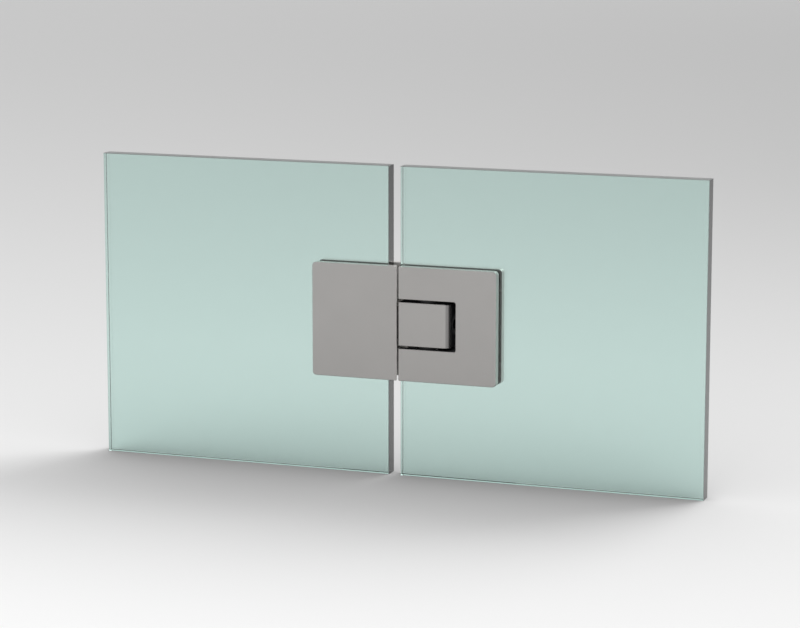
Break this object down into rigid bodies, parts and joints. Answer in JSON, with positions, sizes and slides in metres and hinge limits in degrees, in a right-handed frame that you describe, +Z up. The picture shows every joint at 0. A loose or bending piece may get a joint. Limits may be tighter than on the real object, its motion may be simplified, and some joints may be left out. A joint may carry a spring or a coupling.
{
  "type": "glass door hinge",
  "caption": "Satin glass-to-glass hinge that clamps two panes side by side, with a door leaf turning both ways on a sprung pivot block.",
  "frame": {"origin": "on the ground under the middle of the gap between the panes, in the middle of the glass thickness", "axes": "+X along the panes from the fixed pane to the door, +Y from the plain front to the screwed back, +Z up"},
  "size_m": [0.51, 0.028, 0.25],
  "materials": {
    "pane_glass": "clear float glass with a green tint, polished edges",
    "satin_metal": "satin nickel plate on brass",
    "black_gasket": "matt",
    "black_plastic": "moulded",
    "bronze": "turned",
    "spring_steel": "oiled",
    "screw_steel": "turned stainless steel"
  },
  "bodies": {
    "fixed_side": {"fixed_glass_pane": "pane_glass", "fixed_front_plate": "satin_metal", "fixed_back_plate": "satin_metal", "fixed_front_gasket": "black_gasket", "fixed_back_gasket": "black_gasket", "pivot_block": "satin_metal", "fixed_clamp_screws": "screw_steel", "upper_pin_bush": "black_plastic", "lower_pin_bush": "black_plastic", "detent_plunger": "bronze", "detent_disc_springs": "spring_steel", "detent_plug": "screw_steel"},
    "door_side": {"door_glass_pane": "pane_glass", "door_front_plate": "satin_metal", "door_back_plate": "satin_metal", "door_front_gasket": "black_gasket", "door_back_gasket": "black_gasket", "pivot_pin": "screw_steel", "pin_grub_screws": "screw_steel", "door_clamp_screws": "screw_steel"}
  },
  "joints": [
    {"name": "door_swing", "type": "hinge", "parent": "fixed_side", "child": "door_side", "pos_m": [0.0275, 0, 0.125], "axis": [0, 0, 1], "range_deg": [-90, 90]}
  ]
}
